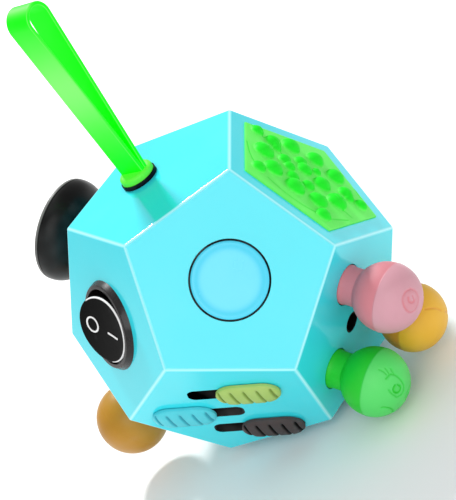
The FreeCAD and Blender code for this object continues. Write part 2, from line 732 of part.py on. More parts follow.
def make_heads():
    nodes = {}
    plate_bottom = HEAD_PLATE_TOP - PLATE
    lobes = [disc(PLATE_HUB, plate_bottom, HEAD_PLATE_TOP, *PEEP_PLACE),
             disc(PEEP_RADIUS + PEEP_WALL, HEAD_PLATE_TOP, -WALL, *PEEP_PLACE),
             disc(PEEP_RADIUS, -WALL, PEEP_TOP, *PEEP_PLACE)]
    for colour, x, y in HEADS:
        for suffix, shape in make_head().items():
            nodes[colour + suffix] = put(shape, "heads", x, y, nod_angle(x, y))
        lobes.append(disc(PLATE_PAD, plate_bottom, HEAD_PLATE_TOP, x, y))
        arm = block(*ARM, plate_bottom, HEAD_PLATE_TOP, ARM[0])
        arm.rotate(V(0, 0, 0), Z_AXIS, nod_angle(x, y))
        arm.translate(V(*PEEP_PLACE, 0))
        lobes.append(arm)
    bore = disc(PEEP_RADIUS - PEEP_LINER, PEEP_FLOOR, 0, *PEEP_PLACE)
    nodes["head_plate"] = put(lobes[0].fuse(lobes[1:]).cut(bore).removeSplitter(), "heads")
    return nodes


def head_cuts():
    cuts = [put(disc(NECK_HOLE, CUT_LOW, CUT_HIGH), "heads", x, y) for _, x, y in HEADS]
    cuts.append(put(disc(PEEP_RADIUS + FIT, CUT_LOW, CUT_HIGH), "heads", *PEEP_PLACE))
    return cuts


# ---------------------------------------------------------------- suction cup

def make_cup():
    """Rubber cup that turns on a mushroom stud."""
    rim = (CUP_RADIUS, CUP_HEIGHT)
    heel = (CUP_RADIUS - CUP_HEEL[0], CUP_HEIGHT - CUP_HEEL[1])
    foot = (CUP_FOOT_RADIUS, CUP_FOOT)
    bowl = revolve([
        line((0, CUP_FOOT), foot), line(foot, CUP_WAIST), line(CUP_WAIST, CUP_SHOULDER),
        arc(CUP_SHOULDER, CUP_BACK, heel), line(heel, rim), line(rim, (0, CUP_HEIGHT)),
        line((0, CUP_HEIGHT), (0, CUP_FOOT))])
    curve = ((CUP_RADIUS - CUP_LIP) ** 2 + CUP_DEPTH ** 2) / (2 * CUP_DEPTH)
    bowl = bowl.cut(Part.makeSphere(curve, V(0, 0, CUP_HEIGHT - CUP_DEPTH + curve)))
    room = disc(STUD_RADIUS + RUNNING, CUP_FOOT - CUP_ROOM_PAST, STUD_SHOULDER)
    head_room = STUD_SHOULDER + STUD_HEAD_ROOM
    room = room.fuse(disc(STUD_HEAD + RUNNING, STUD_SHOULDER - RUNNING, head_room))
    stud = disc(STUD_RADIUS, -WALL, STUD_SHOULDER).fuse(
        [disc(STUD_HEAD, STUD_SHOULDER, STUD_SHOULDER + STUD_HEAD_THICK),
         disc(ROOT_FLANGE, 0, CUP_FOOT - STUD_FOOT_GAP), disc(ROOT_FLANGE, SHELF, -WALL)]).removeSplitter()
    return {"suction_cup": put(bowl.cut(room), "cup"), "cup_stud": put(stud, "cup")}


def cup_cuts():
    return [put(disc(STUD_RADIUS + FIT, CUT_LOW, CUT_HIGH), "cup")]


# ---------------------------------------------------------------- joystick

def make_gimbal():
    """Ring that turns about x in the cradle and carries the stick's y trunnions."""
    ring = tube(GIMBAL_OUTER, GIMBAL_INNER, STICK_PIVOT - GIMBAL_HALF, STICK_PIVOT + GIMBAL_HALF)
    ring = ring.cut(rod(TRUNNION_HOLE, -GIMBAL_CUT, GIMBAL_CUT, Y_AXIS, STICK_PIVOT))
    trunnions = [rod(TRUNNION, *GIMBAL_TRUNNION, X_AXIS * side, STICK_PIVOT) for side in (-1, 1)]
    return ring.fuse(trunnions).removeSplitter()


def make_joystick():
    """Ball-topped stick in a gimbal in a cradle below the face, centred by a spring."""
    ball = Part.makeSphere(BALL_RADIUS, V(0, 0, BALL_HEIGHT))
    ball = ball.fuse(disc(BALL_NECK, BALL_NECK_FOOT, BALL_HEIGHT))
    ball = ball.cut(disc(STICK_RADIUS + HAIR, 0, STICK_TOP)).removeSplitter()
    shaft = disc(STICK_RADIUS, STICK_FOOT, STICK_TOP).fuse(
        [disc(STICK_FOOT_RADIUS, STICK_FOOT, STICK_FOOT + STICK_FOOT_THICK),
         rod(TRUNNION, -STICK_TRUNNION, STICK_TRUNNION, Y_AXIS, STICK_PIVOT)])
    cradle = disc(CRADLE_RADIUS, CRADLE_FLOOR - PLATE, -WALL).fuse(disc(CRADLE_FLANGE, -WALL - PLATE, -WALL))
    cradle = cradle.cut([disc(CRADLE_BORE, CRADLE_FLOOR, -WALL),
                         rod(TRUNNION_HOLE, -CRADLE_CUT, CRADLE_CUT, X_AXIS, STICK_PIVOT)])
    gate = round_rim(tube(GATE_RADIUS, GATE_BORE, 0, GATE_TOP), GATE_ROUND, GATE_TOP)
    spring = coil(STICK_COIL, FINE_WIRE, CRADLE_FLOOR, STICK_FOOT, STICK_TURNS)
    nodes = {"joystick_ball": ball, "joystick_shaft": shaft.removeSplitter(),
             "joystick_gimbal": make_gimbal(), "joystick_cradle": cradle.removeSplitter(),
             "joystick_gate": gate, "joystick_spring": spring}
    return {name: put(shape, "joystick") for name, shape in nodes.items()}


def joystick_cuts():
    return [put(disc(STICK_HOLE, CUT_LOW, CUT_HIGH), "joystick")]


# ---------------------------------------------------------------- rollers

def make_roller(middle):
    """Grooved wheel on the axle, centred at x = middle."""
    half = ROLLER_WIDTH / 2
    wheel = rod(ROLLER_RADIUS, middle - half, middle + half, X_AXIS)
    wheel = wheel.makeChamfer(ROLLER_CHAMFER, [edge for edge in wheel.Edges if edge.BoundBox.XLength < TINY])
    grooves = []
    for point in ring_points(ROLLER_RADIUS - GROOVE_DEPTH + GROOVE_WIDTH, 0, ROLLER_TEETH, 0):
        start = V(middle - half, point.x, point.y)
        grooves.append(Part.makeCylinder(GROOVE_WIDTH, ROLLER_WIDTH, start, X_AXIS))
    wheel = wheel.cut(grooves + [rod(AXLE_RADIUS + RUNNING, middle - half, middle + half, X_AXIS)])
    wheel.translate(V(0, 0, ROLLER_AXIS))
    return wheel


def make_rollers():
    floor = ROLLER_AXIS - ROLLER_RADIUS - ROLLER_ROOM
    cradle = disc(ROLLER_HOUSING, floor - PLATE, -WALL)
    cradle = cradle.cut(block(ROLLER_POCKET_X, ROLLER_POCKET_Y, floor, 0))
    axle = rod(AXLE_RADIUS, -AXLE_HALF, AXLE_HALF, X_AXIS, ROLLER_AXIS)
    nodes = {"roller_cradle": cradle.cut(axle), "roller_axle": axle}
    for index in range(ROLLERS):
        nodes["roller_%d" % (index + 1)] = make_roller((index - 1) * (ROLLER_WIDTH + ROLLER_GAP))
    return {name: put(shape, "rollers") for name, shape in nodes.items()}


def roller_cuts():
    return [put(block(ROLLER_POCKET_X, ROLLER_POCKET_Y, CUT_LOW, CUT_HIGH), "rollers")]


# ---------------------------------------------------------------- dial, spinner and dish

def make_dial():
    """Dial that turns on a hub inside the fixed ring that the toy stands on."""
    ring = round_rim(tube(RING_OUTER, RING_INNER, 0, STAND), RING_ROUND, STAND)
    head_bottom = STAND - HUB_HEAD_THICK
    dial = disc(DIAL_RADIUS, DIAL_LIFT, STAND - DIAL_SET_BACK)
    dial = dial.cut([disc(HUB_RADIUS + RUNNING, 0, STAND),
                     disc(HUB_HEAD + HUB_HEAD_ROOM, head_bottom - HUB_HEAD_ROOM, STAND)])
    dimple_centres = ring_points(DIAL_DIMPLE_RING, 0, DIAL_DIMPLES, STAND + DIAL_DIMPLE_LIFT)
    dimples = [Part.makeSphere(DIAL_DIMPLE, point) for point in dimple_centres]
    hub = disc(HUB_RADIUS, -WALL, STAND).fuse(
        [disc(HUB_HEAD, head_bottom, STAND), disc(ROOT_FLANGE, SHELF, -WALL)]).removeSplitter()
    nodes = {"base_ring": ring, "base_dial": dial.cut(dimples), "base_hub": hub}
    return {name: put(shape, "dial") for name, shape in nodes.items()}


def make_spinner():
    """Spinning disc with three finger dimples, on a bearing."""
    wheel = disc(SPINNER_RADIUS, SPINNER_BOTTOM, SPINNER_TOP)
    wheel = round_rim(wheel, SPINNER_ROUND, SPINNER_TOP)
    wheel = wheel.cut(disc(BEARING_OUTER, SPINNER_BOTTOM, SPINNER_TOP))
    dimple_centres = ring_points(SPINNER_DIMPLE_RING, 90, SPINNER_DIMPLES, SPINNER_TOP + SPINNER_DIMPLE_LIFT)
    dimples = [Part.makeSphere(SPINNER_DIMPLE, point) for point in dimple_centres]
    bearing_top = SPINNER_TOP - BEARING_SET_BACK
    bearing = tube(BEARING_OUTER, SPINNER_POST + RUNNING, SPINNER_BOTTOM, bearing_top)
    post = disc(SPINNER_POST, -WALL, SPINNER_TOP).fuse(
        [disc(POST_HEAD, SPINNER_TOP - POST_HEAD_THICK, SPINNER_TOP),
         disc(POST_FOOT, 0, SPINNER_BOTTOM - POST_FOOT_GAP),
         disc(ROOT_FLANGE, SHELF, -WALL)]).removeSplitter()
    nodes = {"spinner_disc": wheel.cut(dimples), "spinner_bearing": bearing, "spinner_post": post}
    return {name: put(shape, "spinner") for name, shape in nodes.items()}


def make_dish():
    """Smooth thumb dish set in the face."""
    lip = round_rim(disc(DISH_RADIUS, 0, DISH_LIP), DISH_ROUND, DISH_LIP)
    body = disc(DISH_BARREL, SHELF, DISH_OVERLAP).fuse(lip)
    bowl = Part.makeSphere(DISH_CURVE, V(0, 0, DISH_CURVE - DISH_SAG))
    return {"worry_dish": put(body.cut(bowl).removeSplitter(), "dish")}


def plain_cuts():
    return [put(disc(HUB_RADIUS + FIT, CUT_LOW, CUT_HIGH), "dial"),
            put(disc(SPINNER_POST + FIT, CUT_LOW, CUT_HIGH), "spinner"),
            put(disc(DISH_BARREL + FIT, CUT_LOW, CUT_HIGH), "dish")]


# ---------------------------------------------------------------- assembly

def make_nodes():
    nodes = make_case(button_cuts() + strap_cuts() + pad_cuts() + rocker_cuts() + slider_cuts()
                      + head_cuts() + cup_cuts() + joystick_cuts() + roller_cuts() + plain_cuts())
    for make in (make_button, make_strap, make_pad, make_rocker, make_sliders, make_heads, make_cup,
                 make_joystick, make_rollers, make_dial, make_spinner, make_dish):
        nodes.update(make())
    return nodes


def main():
    os.makedirs("parts", exist_ok=True)
    for name, shape in make_nodes().items():
        shape.exportStep("parts/%s.step" % name)
        print("%-16s %d solids, %9.1f mm3, valid %s"
              % (name, len(shape.Solids), shape.Volume, shape.isValid()))


if __name__ == "__main__":
    main()
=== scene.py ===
"""Looks of the twelve-sided fidget toy: detailed soft pieces, materials, floor, light and camera."""

import json
import math

import bpy
import numpy as np
from mathutils import Matrix, Vector


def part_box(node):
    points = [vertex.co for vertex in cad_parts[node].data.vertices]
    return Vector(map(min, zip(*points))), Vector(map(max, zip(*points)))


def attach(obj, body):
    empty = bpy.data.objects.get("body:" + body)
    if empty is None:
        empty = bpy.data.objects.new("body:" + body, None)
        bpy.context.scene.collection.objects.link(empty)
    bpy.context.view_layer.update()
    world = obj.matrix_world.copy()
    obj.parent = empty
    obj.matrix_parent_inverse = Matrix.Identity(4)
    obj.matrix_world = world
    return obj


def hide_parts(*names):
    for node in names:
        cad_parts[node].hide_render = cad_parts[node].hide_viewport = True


MM = 0.001
TINY = 1e-6
CAP_ROUND = 160

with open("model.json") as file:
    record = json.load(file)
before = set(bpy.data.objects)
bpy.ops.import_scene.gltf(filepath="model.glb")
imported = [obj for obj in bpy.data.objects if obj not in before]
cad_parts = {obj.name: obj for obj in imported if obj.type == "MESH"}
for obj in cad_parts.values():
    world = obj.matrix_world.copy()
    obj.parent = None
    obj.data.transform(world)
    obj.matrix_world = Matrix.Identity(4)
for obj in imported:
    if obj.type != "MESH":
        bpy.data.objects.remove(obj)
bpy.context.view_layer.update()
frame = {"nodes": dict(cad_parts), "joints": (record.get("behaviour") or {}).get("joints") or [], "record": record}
nodes = frame["nodes"]
joints = {joint["name"]: joint for joint in frame["joints"]}


# ---------------------------------------------------------------- frames of the faces

def shell_extent():
    """Middle of the case and half the distance between opposite faces, in metres."""
    boxes = [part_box("front_shell"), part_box("rear_shell")]
    low = min(box[0].z for box in boxes)
    high = max(box[1].z for box in boxes)
    return Vector((0, 0, (low + high) / 2)), (high - low) / 2


CENTRE, INRADIUS = shell_extent()
TILT = math.degrees(math.atan(0.5))
FACES = {
    "strap": (90, 0), "button": (TILT, -90), "pad": (TILT, -18), "rollers": (TILT, 54),
    "cup": (TILT, 126), "rocker": (TILT, 198), "sliders": (-TILT, 234), "heads": (-TILT, 306),
    "spinner": (-TILT, 18), "dish": (-TILT, 90), "joystick": (-TILT, 162), "dial": (-90, 0),
}


def normal(name):
    """Outward direction of a face."""
    elevation, azimuth = (math.radians(angle) for angle in FACES[name])
    flat = math.cos(elevation)
    return Vector((flat * math.cos(azimuth), flat * math.sin(azimuth), math.sin(elevation)))


def face_matrix(name, x=0.0, y=0.0, spin=0.0):
    """From a face's own millimetres, z pointing out of it, to the frame's metres."""
    outward = normal(name)
    reference = Vector((0, 0, 1)) if name in ("button", "dish") else normal("button")
    along = reference.cross(outward).normalized()
    across = outward.cross(along)
    turn = Matrix((along, across, outward)).transposed().to_4x4()
    origin = Matrix.Translation(CENTRE + outward * INRADIUS)
    shift = Matrix.Translation(Vector((x, y, 0)) * MM)
    return origin @ turn @ shift @ Matrix.Rotation(math.radians(spin), 4, "Z") @ Matrix.Scale(MM, 4)


def local_box(node, matrix):
    """Lowest and highest corner of a CAD node in a face's millimetres."""
    inverse = np.array(matrix.inverted())
    points = np.array([v.co for v in nodes[node].data.vertices]) @ inverse[:3, :3].T + inverse[:3, 3]
    return points.min(0), points.max(0)


# ---------------------------------------------------------------- mesh helpers

def make_mesh(name, points, faces, matrix, sharp=180.0):
    """Mesh object from points in a face's millimetres."""
    array = np.array(matrix)
    world = np.asarray(points, float) @ array[:3, :3].T + array[:3, 3]
    mesh = bpy.data.meshes.new(name)
    mesh.from_pydata(world.tolist(), [], faces)
    mesh.validate()
    mesh.polygons.foreach_set("use_smooth", [True] * len(mesh.polygons))
    if sharp < 180:
        mesh.set_sharp_from_angle(angle=math.radians(sharp))
    mesh.update()
    piece = bpy.data.objects.new(name, mesh)
    bpy.context.scene.collection.objects.link(piece)
    return piece


def ring_faces(rings, count, first_pole=False, last_pole=False):
    """Faces that join rings of count points, with an optional pole point before and after them."""
    faces = []
    start = 1 if first_pole else 0
    if first_pole:
        faces += [(0, 1 + (i + 1) % count, 1 + i) for i in range(count)]
    for ring in range(rings - 1):
        a = start + ring * count
        b = a + count
        faces += [(a + i, a + (i + 1) % count, b + (i + 1) % count, b + i) for i in range(count)]
    if last_pole:
        a = start + (rings - 1) * count
        pole = a + count
        faces += [(a + i, a + (i + 1) % count, pole) for i in range(count)]
    return faces


def end_faces(rings, count):
    """Flat faces that close the first and the last ring."""
    return [tuple(range(count))[::-1], tuple(range((rings - 1) * count, rings * count))]


def lathe_points(profile, count):
    """Points of a profile of (radius, height) turned about z, poles where the radius is zero."""
    angles = np.arange(count) * 2 * math.pi / count
    points = []
    for radius, height in profile:
        if radius < TINY:
            points.append((0.0, 0.0, height))
        else:
            points += [(radius * math.cos(a), radius * math.sin(a), height) for a in angles]
    return points


def lathe(name, profile, matrix, count=128, sharp=60.0):
    """Closed surface of revolution, from a profile that starts and ends on the axis."""
    faces = ring_faces(len(profile) - 2, count, True, True)
    return make_mesh(name, lathe_points(profile, count), faces, matrix, sharp)


def profile_attribute(piece, name, profile, count, share):
    """Point attribute of a turned piece from a function of the profile's radius and height."""
    values = []
    for radius, height in profile:
        values += [share(radius, height)] * (1 if radius < TINY else count)
    float_attribute(piece, name, values)


def arc(centre, radius, start, end, steps):
    """Points of an arc in the profile plane, angles in degrees."""
    angles = np.radians(np.linspace(start, end, steps + 1))
    return [(centre[0] + radius * math.cos(a), centre[1] + radius * math.sin(a)) for a in angles]


def segment_distance(points, a, b):
    """Distance of many plane points from a segment."""
    a, b = np.array(a, float), np.array(b, float)
    d = b - a
    t = np.clip(((points - a) @ d) / max(d @ d, 1e-12), 0, 1)
    return np.linalg.norm(points - a - t[:, None] * d, axis=1)


def stroke_distance(points, stroke):
    """Distance of many plane points from a stroke of joined segments."""
    distances = [segment_distance(points, a, b) for a, b in zip(stroke, stroke[1:])]
    return np.min(distances, axis=0)


def smooth_stroke(stroke, steps=6):
    """Rounder version of a stroke, on a curve through its points."""
    points = [Vector(p) for p in stroke]
    points = [2 * points[0] - points[1]] + points + [2 * points[-1] - points[-2]]
    result = []
    for a, b, c, d in zip(points, points[1:], points[2:], points[3:]):
        for step in range(steps):
            t = step / steps
            result.append(0.5 * (2 * b + (c - a) * t + (2 * a - 5 * b + 4 * c - d) * t ** 2
                                 + (3 * b - a - 3 * c + d) * t ** 3))
    return [tuple(p) for p in result] + [tuple(points[-2])]


def float_attribute(piece, name, values):
    """Gives each point of a piece a number that its material reads."""
    attribute = piece.data.attributes.new(name, "FLOAT", "POINT")
    attribute.data.foreach_set("value", np.asarray(values, np.float32))


# ---------------------------------------------------------------- materials

def linear(r, g, b):
    """Linear colour of an 8-bit display colour."""
    def one(value):
        value /= 255
        return value / 12.92 if value <= 0.04045 else ((value + 0.055) / 1.055) ** 2.4
    return (one(r), one(g), one(b), 1.0)


def mixed(a, b, share):
    """Colour between two colours."""
    return tuple(x + (y - x) * share for x, y in zip(a, b))


class Nodes:
    """Short way to write a node tree."""

    def __init__(self, name):
        self.material = bpy.data.materials.new(name)
        self.material.use_nodes = True
        self.tree = self.material.node_tree
        self.shader = self.tree.nodes["Principled BSDF"]
        self.position = self.add("ShaderNodeTexCoord").outputs["Object"]

    def add(self, kind, **values):
        node = self.tree.nodes.new(kind)
        for key, value in values.items():
            setattr(node, key, value)
        return node

    def link(self, source, target):
        self.tree.links.new(source, target)

    def noise(self, scale, detail=3.0, rough=0.55, stretch=None):
        node = self.add("ShaderNodeTexNoise")
        node.inputs["Scale"].default_value = scale
        node.inputs["Detail"].default_value = detail
        node.inputs["Roughness"].default_value = rough
        source = self.position
        if stretch:
            mapping = self.add("ShaderNodeMapping")
            mapping.inputs["Scale"].default_value = stretch
            self.link(self.position, mapping.inputs["Vector"])
            source = mapping.outputs["Vector"]
        self.link(source, node.inputs["Vector"])
        return node.outputs["Fac"]

    def ramp(self, source, stops):
        node = self.add("ShaderNodeValToRGB")
        elements = node.color_ramp.elements
        while len(elements) < len(stops):
            elements.new(0.5)
        for element, (place, colour) in zip(elements, stops):
            element.position = place
            element.color = colour
        self.link(source, node.inputs["Fac"])
        return node.outputs["Color"]

    def span(self, source, low, high, a=0.0, b=1.0):
        """Maps low..high of a value to a..b."""
        node = self.add("ShaderNodeMapRange")
        for key, value in zip(("From Min", "From Max", "To Min", "To Max"), (low, high, a, b)):
            node.inputs[key].default_value = value
        self.link(source, node.inputs["Value"])
        return node.outputs["Result"]

    def mix(self, share, a, b):
        """Mix of two colours, each a socket or a colour."""
        node = self.add("ShaderNodeMix", data_type="RGBA")
        for key, value in ((0, share), (6, a), (7, b)):
            if isinstance(value, bpy.types.NodeSocket):
                self.link(value, node.inputs[key])
            else:
                node.inputs[key].default_value = value
        return node.outputs[2]

    def attribute(self, name):
        return self.add("ShaderNodeAttribute", attribute_name=name).outputs["Fac"]

    def bump(self, height, distance, strength=1.0, below=None):
        node = self.add("ShaderNodeBump")
        node.inputs["Distance"].default_value = distance
        node.inputs["Strength"].default_value = strength
        self.link(height, node.inputs["Height"])
        if below is not None:
            self.link(below, node.inputs["Normal"])
        return node.outputs["Normal"]

    def finish(self, colour, roughness, bump, **constants):
        self.link(colour, self.shader.inputs["Base Color"])
        self.link(roughness, self.shader.inputs["Roughness"])
        self.link(bump, self.shader.inputs["Normal"])
        for key, value in constants.items():
            self.shader.inputs[key.replace("_", " ")].default_value = value
        return self.material


def surface(name, colour, variation=0.05, rough=(0.25, 0.35), grain=(2600, 0.00001), mottle=55,
            painted_light=None, painted_light_attribute="painted_light", dark=None, **constants):
    """Moulded plastic or rubber: a mottled colour, uneven gloss, fine grain and faint waviness, with an optional
    colour of painted highlight or painted shade mixed in by a point attribute.
    """
    n = Nodes(name)
    shade = mixed(colour, (0, 0, 0, 1), variation)
    tint = mixed(colour, (1, 1, 1, 1), variation * 0.6)
    base = n.ramp(n.noise(mottle), ((0.3, shade), (0.5, colour), (0.72, tint)))
    # Painted highlight or painted shade, as marked on each piece's points.
    if painted_light:
        base = n.mix(n.attribute(painted_light_attribute), base, painted_light)
    if dark:
        base = n.mix(n.attribute("dark"), base, dark)
    fine = n.noise(grain[0], 2.0)
    wave = n.noise(180, 1.0)
    relief = n.bump(wave, grain[1] * 3, 0.35)
    relief = n.bump(fine, grain[1], 0.8, relief)
    gloss = n.span(n.noise(mottle * 3, 4.0), 0.3, 0.7, rough[0], rough[1])
    return n.finish(base, gloss, relief, **constants)


def metal(name, colour):
    """Drawn steel with fine lines."""
    n = Nodes(name)
    lines = n.noise(900, 3.0, 0.6, (1.0, 1.0, 0.08))
    base = n.ramp(lines, ((0.3, mixed(colour, (0, 0, 0, 1), 0.15)), (0.7, colour)))
    return n.finish(base, n.span(lines, 0.3, 0.7, 0.24, 0.4), n.bump(lines, 0.000012, 0.6), Metallic=1.0)


SKY = linear(50, 219, 233)
DULL = 0.06
MATERIALS = {
    # The shell's paler edge colour is painted highlight on the case's rounded edges.
    "shell": surface("sky_abs", SKY, 0.02, (0.09, 0.14), (2200, 0.000001), 40,
                     painted_light=linear(176, 246, 252), IOR=1.5),
    # The cap's darker colour is painted shade in a band round its top.
    "cap": surface("pale_abs", linear(93, 218, 246), 0.015, (0.2, 0.28), (2200, 0.000002), 70,
                   painted_light=linear(28, 200, 230), IOR=1.46),
    "black": surface("black_abs", linear(6, 6, 7), 0.15, (0.35, 0.5), (2600, 0.000006), 90,
                     Specular_IOR_Level=DULL),
    # The slot liners are black parts, made dead black with no gloss as painted shade for the depth of the slots.
    "slot": surface("slot_shade_black", linear(1, 1, 1), 0.1, (0.85, 0.95), (2600, 0.000005), 90,
                    Specular_IOR_Level=0.0),
    # The paddle's white colour is painted highlight on its rim.
    "paddle": surface("paddle_abs", linear(3, 3, 3), 0.12, (0.4, 0.5), (2600, 0.000005), 90,
                      painted_light=linear(235, 235, 235), Specular_IOR_Level=DULL),
    "bezel": surface("charcoal_abs", linear(30, 27, 27), 0.04, (0.22, 0.32), (2400, 0.000008), 120,
                     Specular_IOR_Level=0.3),
    "mark": surface("white_print", linear(240, 240, 240), 0.03, (0.45, 0.6), (3000, 0.000006), 200),
    # The strap's pale colour is painted highlight on its corners and two patches.
    "strap": surface("strap_silicone", linear(2, 236, 2), 0.03, (0.42, 0.55), (3000, 0.000006), 60,
                     painted_light=linear(136, 250, 116), Specular_IOR_Level=0.2,
                     # The faint green glow is painted light that brightens the strap's shaded inner side.
                     Emission_Color=(0.0, 1.0, 0.0, 1.0), Emission_Strength=0.3),
    "collar": surface("collar_silicone", linear(98, 250, 60), 0.04, (0.42, 0.55), (3000, 0.000006), 60,
                      Specular_IOR_Level=0.25),
    "pad": surface("pad_silicone", linear(106, 244, 100), 0.04, (0.45, 0.55), (2800, 0.000005), 120,
                   dark=linear(34, 230, 44), Specular_IOR_Level=0.1),
    "gasket": surface("gasket_rubber", linear(8, 16, 26), 0.12, (0.45, 0.6), (2600, 0.00001), 90,
                      Specular_IOR_Level=DULL),
    # Each grip's dark colour is painted shade in its creases.
    "lime": surface("lime_grip", linear(162, 192, 96), 0.06, (0.5, 0.65), (3200, 0.000012), 150,
                    dark=linear(132, 158, 66)),
    "blue": surface("blue_grip", linear(70, 200, 214), 0.05, (0.5, 0.65), (3200, 0.000012), 150,
                    dark=linear(54, 170, 188)),
    "dark": surface("charcoal_grip", linear(78, 70, 70), 0.10, (0.5, 0.65), (3200, 0.000014), 150,
                    dark=linear(8, 7, 7), Specular_IOR_Level=DULL),
    # Each head's dark colour is used below the parting line, in the drawn lines, and as painted shade in the eyes.
    "pink": surface("pink_silicone", linear(206, 150, 162), 0.04, (0.5, 0.62), (3000, 0.00001), 70,
                    dark=linear(206, 124, 134)),
    "green": surface("green_silicone", linear(78, 216, 98), 0.04, (0.5, 0.62), (3000, 0.00001), 70,
                     dark=linear(12, 196, 30)),
    "orange": surface("orange_silicone", linear(226, 174, 44), 0.04, (0.5, 0.62), (3000, 0.00001), 70,
                      dark=linear(214, 142, 42)),
    "ochre": surface("ochre_abs", linear(180, 126, 14), 0.06, (0.4, 0.5), (2600, 0.000006), 90),
    # The cup's grey colour is painted highlight on its lip.
    "cup": surface("cup_rubber", linear(3, 3, 3), 0.05, (0.3, 0.38), (2600, 0.000003), 60,
                   painted_light=linear(112, 112, 110), Specular_IOR_Level=0.16),
    "white": surface("white_acetal", linear(225, 228, 230), 0.03, (0.35, 0.45), (2600, 0.000006), 110),
    "steel": metal("spring_steel", (0.62, 0.63, 0.65, 1.0)),
}


def dress(piece, material, body, slot, *replaced):
    """Gives a new piece its material and its body, and hides the CAD nodes that it stands for. Its slot argument
    is not used.
    """
    piece.data.materials.clear()
    piece.data.materials.append(MATERIALS[material])
    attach(piece, body)
    if replaced:
        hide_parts(*replaced)


FINER_MATERIALS = {
    "strap_collar": "collar", "lime_liner": "slot", "blue_liner": "slot", "black_liner": "slot",
}
SMOOTH_ANGLE = 28


def dress_nodes():
    """CAD nodes get the material of their slot, or a finer one, and smooth shading across small angles."""
    slots = {row["node"]: row["material_slot"] for row in frame["record"]["subparts"]}
    for name, node in nodes.items():
        node.data.materials.clear()
        node.data.materials.append(MATERIALS[FINER_MATERIALS.get(name, slots[name])])
        weld = node.modifiers.new("weld", "WELD")
        weld.merge_threshold = TINY
        split = node.modifiers.new("split", "EDGE_SPLIT")
        split.split_angle = math.radians(SMOOTH_ANGLE)
        node.modifiers.new("even", "WEIGHTED_NORMAL")
        node.data.polygons.foreach_set("use_smooth", [True] * len(node.data.polygons))


# ---------------------------------------------------------------- case

# Width of the painted highlight along the case's edges, and the depth below the outer faces past which none is
# painted.
EDGE_HIGHLIGHT_BAND = 0.5
SKIN = 1.0


def paint_case_edge_highlights():
    """Painted highlight: the rounded edges of the case are a paler blue."""
    normals = np.array([normal(name) for name in FACES])
    for name in ("front_shell", "rear_shell"):
        points = np.array([v.co for v in nodes[name].data.vertices]) - np.array(CENTRE)
        heights = np.sort(points @ normals.T, axis=1) / MM
        painted_highlight = np.clip(1 - (heights[:, -1] - heights[:, -2]) / EDGE_HIGHLIGHT_BAND, 0, 1)
        painted_highlight[heights[:, -1] < INRADIUS / MM - SKIN] = 0
        float_attribute(nodes[name], "painted_light", painted_highlight)


# ---------------------------------------------------------------- pull strap

STRAP_WIDTH = 6.0
STRAP_THICK = 0.85
STRAP_TURN = (1.0, 39.7)
STRAP_TURN_RADIUS = 3.05
STRAP_FOOT = 1.4
STRAP_PLACE = (2.4, -4.75)
STRAP_SPIN = 220
STRAP_PARTING = 0.05
STRAP_STEPS = 41
BAND_CORNER = 0.2
BAND_BOW = 0.03


def strap_path():
    """Middle line of the strap's loop and its outward directions, in its own x-z plane."""
    centre = np.array(STRAP_TURN)
    left = np.array((-STRAP_THICK / 2 - STRAP_PARTING, STRAP_FOOT))
    right = np.array((STRAP_THICK / 2 + STRAP_PARTING, STRAP_FOOT))
    touch = []
    for foot, side in ((left, 1), (right, -1)):
        run = centre - foot
        reach = np.linalg.norm(run)
        heading = math.atan2(run[1], run[0]) + side * math.asin(STRAP_TURN_RADIUS / reach)
        length = math.sqrt(reach ** 2 - STRAP_TURN_RADIUS ** 2)
        touch.append(foot + length * np.array((math.cos(heading), math.sin(heading))))
    first = math.atan2(*(touch[0] - centre)[::-1]) % (2 * math.pi)
    last = math.atan2(*(touch[1] - centre)[::-1])
    turn = [centre + STRAP_TURN_RADIUS * np.array((math.cos(a), math.sin(a)))
            for a in np.linspace(first, last, STRAP_STEPS)]
    up = [left + (touch[0] - left) * t for t in np.linspace(0, 1, STRAP_STEPS)[:-1]]
    down = [touch[1] + (right - touch[1]) * t for t in np.linspace(0, 1, STRAP_STEPS)[1:]]
    path = np.array(up + turn + down)
    tangent = np.gradient(path, axis=0)
    tangent /= np.linalg.norm(tangent, axis=1)[:, None]
    return path, np.stack((-tangent[:, 1], tangent[:, 0]), 1)


def strap_section():
    """Soft-edged section of the band: across it, out of the loop, and how much painted highlight the point gets
    along its rounded corners.
    """
    corner = BAND_CORNER
    half_w, half_t = STRAP_WIDTH / 2, STRAP_THICK / 2
    section = []
    for sx, sy, start in ((1, 1, 0), (-1, 1, 90), (-1, -1, 180), (1, -1, 270)):
        centre = (sx * (half_w - corner), sy * (half_t - corner))
        for step, (x, y) in enumerate(arc(centre, corner, start, start + 90, 8)):
            section.append((x, y, 0.6 * math.exp(-((step - 4) / 2.2) ** 2)))
        if sx == sy:
            for x in np.linspace(half_w - corner, corner - half_w, 15)[1:-1] * sx:
                bow = BAND_BOW * (1 - (x / half_w) ** 2)
                section.append((x, sy * (half_t - bow), 0.0))
    return section


def strap_sheen(step, steps, out):
    """Painted highlight: the strap is paler half way up the outer side of its front leg, and on its crest."""
    if out < 0:
        return 0.0
    along = step / steps
    leg = 0.9 * math.exp(-((along - 0.2) / 0.085) ** 2)
    crest = 0.5 * math.exp(-((along - 0.47) / 0.035) ** 2)
    return leg + crest


